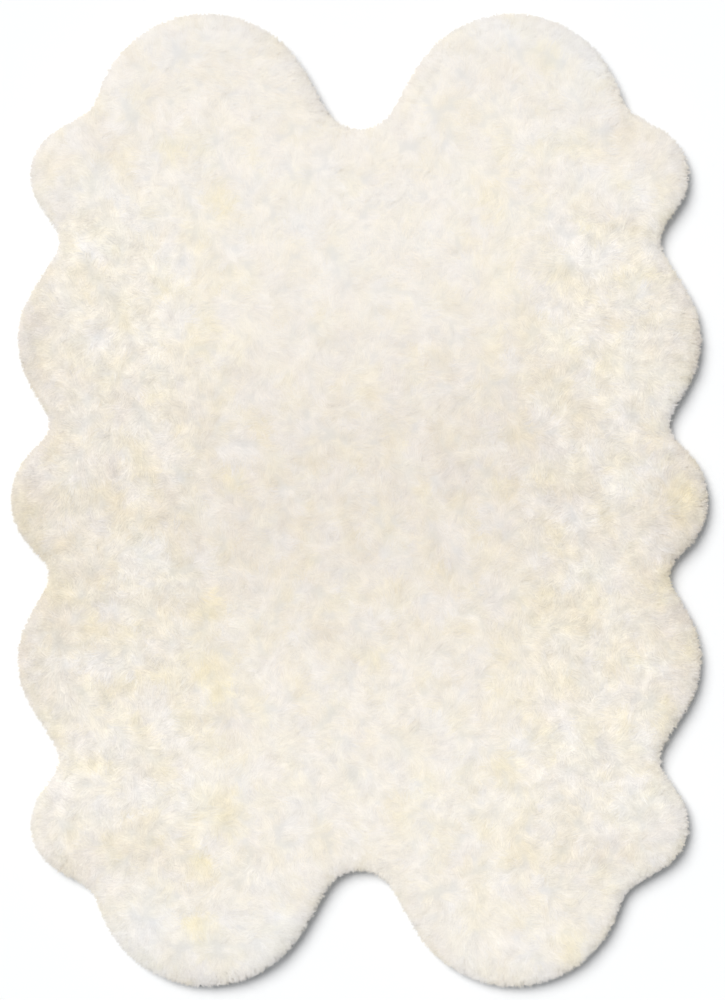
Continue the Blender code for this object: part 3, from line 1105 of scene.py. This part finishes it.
def pelt_loop(inset, seam_offset, steps):
    """Closed loop round a pelt in the +X +Y quarter: its outline first, then its seam edges."""
    round_steps, cross_steps, long_steps = steps
    base, outward = OUTLINE.at(np.linspace(0.0, OUTLINE.length, round_steps))
    outer = np.maximum(base - outward * inset, seam_offset)
    outer[0, 0] = outer[-1, 1] = seam_offset
    corner = np.array([seam_offset, seam_offset])
    cross = even_points(np.stack([outer[-1], corner]), cross_steps)[1:]
    long = even_points(np.stack([corner, outer[0]]), long_steps)[1:-1]
    return np.concatenate([outer, cross, long])


def inner_points(inset, seam_offset, pitch):
    """An uneven triangular grid of points inside such a loop, clear of it."""
    reach = OUTLINE.points.max(0)
    x, y = np.meshgrid(np.arange(0.0, reach[0], pitch),
                       np.arange(0.0, reach[1], pitch * math.sqrt(0.75)))
    x[1::2] += pitch / 2
    points = np.stack([x.ravel(), y.ravel()], 1)
    points = points + np.random.default_rng(300).uniform(-0.15, 0.15, points.shape) * pitch
    clear = PLAN.inset_at(points) > inset + 0.6 * pitch
    return points[clear & (points.min(1) > seam_offset + 0.5 * pitch)]


def is_inside(places, boundary):
    """Which places lie inside a closed boundary, by the edges that a line from each crosses."""
    x, y = places[:, :1], places[:, 1:]
    (from_x, from_y), (to_x, to_y) = boundary.T, np.roll(boundary, -1, 0).T
    spans = (from_y > y) != (to_y > y)
    climb = np.where(from_y == to_y, 1.0, to_y - from_y)
    beyond = from_x + (y - from_y) * (to_x - from_x) / climb > x
    return (spans & beyond).sum(1) % 2 == 1


def filled(boundary, inside):
    """Triangles, facing up, that fill a closed boundary through the points inside it."""
    points = np.concatenate([boundary, inside])
    count = len(boundary)
    edges = [(here, (here + 1) % count) for here in range(count)]
    made = delaunay_2d_cdt([Vector(point) for point in points], edges, [], 0, 1e-7, True)
    source = np.array([origins[0] for origins in made[3]])
    faces = source[np.array(made[2])]
    faces = faces[is_inside(points[faces].mean(1), boundary)]
    first, second, third = (points[faces[:, corner]] for corner in range(3))
    over, up = second - first, third - first
    down = over[:, 0] * up[:, 1] - over[:, 1] * up[:, 0] < 0
    faces[down] = faces[down][:, ::-1]
    return faces


def solid_from_rings(name, rings, top, bottom, sides):
    """A closed mesh for one pelt, from rings stacked upwards and the inner points of its lids.

    All are given in the +X +Y quarter; the rings turn clockwise, seen from above.
    """
    count = len(rings[0])
    here = np.arange(count)
    ahead = (here + 1) % count
    faces = []
    for low in range(0, (len(rings) - 1) * count, count):
        high = low + count
        faces.append(np.stack([low + ahead, low + here, high + here], 1))
        faces.append(np.stack([low + ahead, high + here, high + ahead], 1))
    inner_start = len(rings) * count
    top_lid = filled(rings[-1][:, :2], top[:, :2])
    faces.append(top_lid + inner_start - count)
    bottom_lid = filled(rings[0][:, :2], bottom[:, :2])[:, ::-1]
    faces.append(np.where(bottom_lid < count, bottom_lid,
                          bottom_lid + inner_start + len(top) - count))
    vertices = np.concatenate([*rings, top, bottom]) * (*sides, 1.0)
    faces = np.concatenate(faces)
    if sides[0] * sides[1] < 0:
        faces = faces[:, ::-1]
    return mesh_from_arrays(name, vertices, faces)


def underwool(pelt, settings):
    """The dense wool under the long strands of one pelt, as one lumpy body."""
    sides = pelt_sides(pelt)
    depth = settings.underwool_depth

    def top_height(places):
        signed = places * sides
        bumps = sum(size * lump(signed) for lump, size in UNDERWOOL_LUMPS)
        return pile_height(signed) - depth + bumps

    rings = []
    insets, heights = rim_curve(RIM_UNDERWOOL * depth, depth, UNDERWOOL_RINGS)
    for inset, height in zip(insets, heights):
        seam_offset = SEAM_GAP if height < OUTLINE.rim_height else 0.0
        plan = pelt_loop(inset, seam_offset, UNDERWOOL_STEPS)
        share = (height - WOOL_FOOT) / (heights[-1] - WOOL_FOOT)
        level = height + (top_height(plan) - heights[-1]) * share ** 3
        rings.append(np.column_stack([plan, level]))
    places = inner_points(insets[-1], SEAM_GAP, UNDERWOOL_PITCH[0])
    top = np.column_stack([places, top_height(places)])
    places = inner_points(insets[0], SEAM_GAP, UNDERWOOL_PITCH[1])
    bottom = np.column_stack([places, np.full(len(places), WOOL_FOOT)])
    mesh = solid_from_rings("underwool_" + pelt, rings, top, bottom, sides)
    points = np.array([vertex.co for vertex in mesh.vertices])
    set_vectors(mesh, "tint", wool_tint(points[:, :2]))
    level = np.zeros(len(points))
    set_vectors(mesh, "strand", np.stack([flecking(points[:, :2]), level, level], 1))
    normals = np.array([vertex.normal for vertex in mesh.vertices])
    faces_up = smooth_step(normals[:, 2], -0.5, 0.5)
    normals[:, :2][np.abs(points[:, :2]) < 2 * SEAM_GAP] = 0.0
    normals[:, 2] += FRINGE_SCATTER * faces_up
    mesh.normals_split_custom_set_from_vertices(unit(normals))
    return mesh


def hide(pelt, settings):
    """One tanned hide: a thin slab, grooved underneath along its two seams."""
    edge, bevel = settings.setback, 0.0005
    outer = HIDE_STEPS[0]
    rings = []
    for inset, seam_offset, height, seam_height in (
            (edge + bevel, GROOVE_WIDTH, 0.0, 0.0),
            (edge, SEAM_GAP, bevel, GROOVE_DEPTH),
            (edge, SEAM_GAP, HIDE_TOP - bevel, HIDE_TOP - bevel),
            (edge + bevel, SEAM_GAP + bevel, HIDE_TOP, HIDE_TOP)):
        plan = pelt_loop(inset, seam_offset, HIDE_STEPS)
        heights = np.where(np.arange(len(plan)) < outer, height, seam_height)
        rings.append(np.column_stack([plan, heights]))
    lids = []
    for offset, height in ((SEAM_GAP, HIDE_TOP), (GROOVE_WIDTH, 0.0)):
        places = inner_points(edge, offset, HIDE_PITCH)
        lids.append(np.column_stack([places, np.full(len(places), height)]))
    return solid_from_rings("suede_" + pelt, rings, *lids, pelt_sides(pelt))


def seam_thread(name, length, along_axis, settings):
    """One thread that whips two hides together, round and round through both."""
    turns = int(2 * length / settings.stitch_pitch)
    per_turn, corners = 6, 4
    count = turns * per_turn + 1
    angle = np.arange(count) * math.tau / per_turn
    radius = settings.thread_width / 2
    rise = HIDE_TOP / 2 - radius / 2
    spine = np.zeros((count, 3))
    spine[:, along_axis] = np.linspace(-length, length, count)
    spine[:, 1 - along_axis] = settings.stitch_width / 2 * np.sin(angle)
    spine[:, 2] = radius * 1.2 + rise * (1 - np.cos(angle))
    run = unit(np.gradient(spine, axis=0))
    side = unit(np.cross(run, np.eye(3)[along_axis]))
    lift = np.cross(side, run)
    turn = np.arange(corners) * math.tau / corners
    offset = side[:, None] * np.cos(turn)[:, None] + lift[:, None] * np.sin(turn)[:, None]
    vertices = (spine[:, None] + radius * offset).reshape(-1, 3)
    base = np.arange(count - 1)[:, None] * corners
    here, ahead = base + np.arange(corners), base + np.roll(np.arange(corners), -1)
    faces = np.concatenate([
        np.stack([here, ahead, here + corners], -1).reshape(-1, 3),
        np.stack([ahead, ahead + corners, here + corners], -1).reshape(-1, 3)])
    last = (count - 1) * corners
    caps = np.array([[0, 3, 2], [0, 2, 1], [last, last + 1, last + 2], [last, last + 2, last + 3]])
    return mesh_from_arrays(name, vertices, np.concatenate([faces, caps]))


# ---------------------------------------------------------------- operators

FLOOR_REACH = 60.0       # from the rug to the edge of the floor
LAMP_AWAY = 3.0          # from the rug to the lamp
CAMERA_ASIDE = 0.0056    # how far right of the rug's middle the camera stands


class SHEEPSKIN_OT_underwool(Operator):
    """Lays the dense underwool of the four pelts"""

    bl_idname = "sheepskin.underwool"
    bl_label = "Lay Underwool"

    def execute(self, context):
        settings = context.scene.sheepskin_wool
        # shade=-0.02 makes the underwool a little darker: painted shade for the depth in the gaps
        # between the strands over it.
        material = wool_material("Underwool", settings, relief=0.5, shade=-0.02)
        for pelt in PELTS:
            add_piece(underwool(pelt, settings), material, "fleece_" + pelt)
        return {"FINISHED"}


class SHEEPSKIN_OT_wool(Operator):
    """Grows the long wool on the top of the four pelts"""

    bl_idname = "sheepskin.wool"
    bl_label = "Grow Wool"

    def execute(self, context):
        settings = context.scene.sheepskin_wool
        material = wool_material("Long Wool", settings, relief=0.15, shade=0.0)
        let_light_through(material, settings.translucency)
        fringe_material = wool_material("Fringe Wool", settings, relief=0.15, shade=0.0)
        let_light_through(fringe_material, settings.translucency * FRINGE_CLEARNESS)
        locks = Locks(100, settings.lock_pitch)
        for pelt in PELTS:
            add_piece(top_wool(pelt, locks, settings), material, "fleece_" + pelt)
            add_piece(fringe(pelt, settings), fringe_material, "fleece_" + pelt)
        return {"FINISHED"}


class SHEEPSKIN_OT_hides(Operator):
    """Cuts the four tanned hides that the wool grows from"""

    bl_idname = "sheepskin.hides"
    bl_label = "Cut Hides"

    def execute(self, context):
        settings = context.scene.sheepskin_hide
        material = suede_material(settings)
        cut = pelt_loop(settings.setback, SEAM_GAP, HIDE_STEPS)
        for pelt in PELTS:
            piece = add_piece(hide(pelt, settings), material, "hide_" + pelt)
        return {"FINISHED"}


class SHEEPSKIN_OT_seams(Operator):
    """Sews the hides together with whipped seams"""

    bl_idname = "sheepskin.seams"
    bl_label = "Sew Seams"

    def execute(self, context):
        settings = context.scene.sheepskin_hide
        material = thread_material(settings)
        reach = {0: OUTLINE.points[-1, 0], 1: OUTLINE.points[0, 1]}
        for name, axis in (("seam_thread_cross", 0), ("seam_thread_long", 1)):
            length = reach[axis] - settings.setback - GROOVE_WIDTH
            add_piece(seam_thread(name, length, axis, settings), material)
        return {"FINISHED"}


class SHEEPSKIN_OT_studio(Operator):
    """Sets up the floor, the light and the camera straight above"""

    bl_idname = "sheepskin.studio"
    bl_label = "Set Up Studio"

    def execute(self, context):
        scene = context.scene
        settings = scene.sheepskin_studio
        scene.view_settings.view_transform = "Standard"
        self.lay_floor(scene, settings)
        self.hang_light(scene, settings)
        self.set_camera(scene, settings)
        return {"FINISHED"}

    def lay_floor(self, scene, settings):
        """Lays the floor."""
        reach = FLOOR_REACH
        corners = np.array([(-reach, -reach, 0), (reach, -reach, 0), (reach, reach, 0),
                            (-reach, reach, 0)])
        mesh = mesh_from_arrays("floor", corners, np.array([[0, 1, 2], [0, 2, 3]]))
        material, _, shader = new_material("Studio Floor", Roughness=0.95,
                                           Specular_IOR_Level=0.0)
        shader["Base Color"].default_value = rgba(settings.floor)
        mesh.materials.append(material)
        floor = bpy.data.objects.new("floor", mesh)
        scene.collection.objects.link(floor)

    def hang_light(self, scene, settings):
        """Lights the rug from all round, and with a lamp; the lens sees a white room."""
        world = bpy.data.worlds.new("Studio")
        world.use_nodes = True
        nodes = NodeMaker(world.node_tree)
        seen = nodes.add("ShaderNodeLightPath").outputs["Is Camera Ray"]
        background = world.node_tree.nodes["Background"].inputs
        white = (1.0, 1.0, 1.0, 1.0)
        nodes.feed(background["Color"], nodes.mix(seen, rgba(settings.fill_tint), white))
        lit = nodes.math("MULTIPLY", nodes.math("SUBTRACT", 1.0, seen), settings.fill)
        nodes.feed(background["Strength"], nodes.math("ADD", lit, seen))
        scene.world = world
        lamp = bpy.data.lights.new("key", "SUN")
        lamp.energy = settings.key
        lamp.angle = settings.key_softness
        key = bpy.data.objects.new("key", lamp)
        lean = math.sin(settings.key_lean)
        toward = Vector((lean * math.cos(settings.key_heading),
                         lean * math.sin(settings.key_heading), math.cos(settings.key_lean)))
        key.rotation_euler = toward.to_track_quat("Z", "Y").to_euler()
        key.location = toward * LAMP_AWAY
        scene.collection.objects.link(key)

    def set_camera(self, scene, settings):
        """Sets the camera straight above, at the distance that fills its picture."""
        lens = bpy.data.cameras.new("above")
        lens.lens = settings.lens
        lens.clip_end = 200.0
        camera = bpy.data.objects.new("above", lens)
        distance = settings.picture_height * settings.lens / lens.sensor_width
        camera.location = (CAMERA_ASIDE, 0.0, OUTLINE.rim_height + distance)
        scene.collection.objects.link(camera)
        scene.camera = camera


class SHEEPSKIN_PT_panel(Panel):
    """Steps that dress the rug, and their sizes and colours"""

    bl_label = "Sheepskin Rug"
    bl_idname = "SHEEPSKIN_PT_panel"
    bl_space_type = "VIEW_3D"
    bl_region_type = "UI"
    bl_category = "Sheepskin"

    def draw(self, context):
        for title, group, steps in (
                ("Wool", "sheepskin_wool", ("underwool", "wool")),
                ("Hides", "sheepskin_hide", ("hides", "seams")),
                ("Studio", "sheepskin_studio", ("studio",))):
            box = self.layout.box()
            box.label(text=title)
            settings = getattr(context.scene, group)
            for name in settings.__annotations__:
                box.prop(settings, name)
            for step in steps:
                box.operator("sheepskin." + step)


CLASSES = (WoolSettings, HideSettings, StudioSettings, SHEEPSKIN_OT_underwool, SHEEPSKIN_OT_wool,
           SHEEPSKIN_OT_hides, SHEEPSKIN_OT_seams, SHEEPSKIN_OT_studio, SHEEPSKIN_PT_panel)
SETTINGS = {"sheepskin_wool": WoolSettings, "sheepskin_hide": HideSettings,
            "sheepskin_studio": StudioSettings}


def register():
    """Makes the settings, the steps and the panel known to Blender."""
    for one in CLASSES:
        bpy.utils.register_class(one)
    for name, group in SETTINGS.items():
        setattr(bpy.types.Scene, name, PointerProperty(type=group))


def unregister():
    """Takes them out again."""
    for name in SETTINGS:
        delattr(bpy.types.Scene, name)
    for one in reversed(CLASSES):
        bpy.utils.unregister_class(one)


def main():
    """Dresses the rug step by step."""
    register()
    bpy.ops.sheepskin.underwool()
    bpy.ops.sheepskin.wool()
    bpy.ops.sheepskin.hides()
    bpy.ops.sheepskin.seams()
    bpy.ops.sheepskin.studio()


if __name__ == "__main__":
    main()
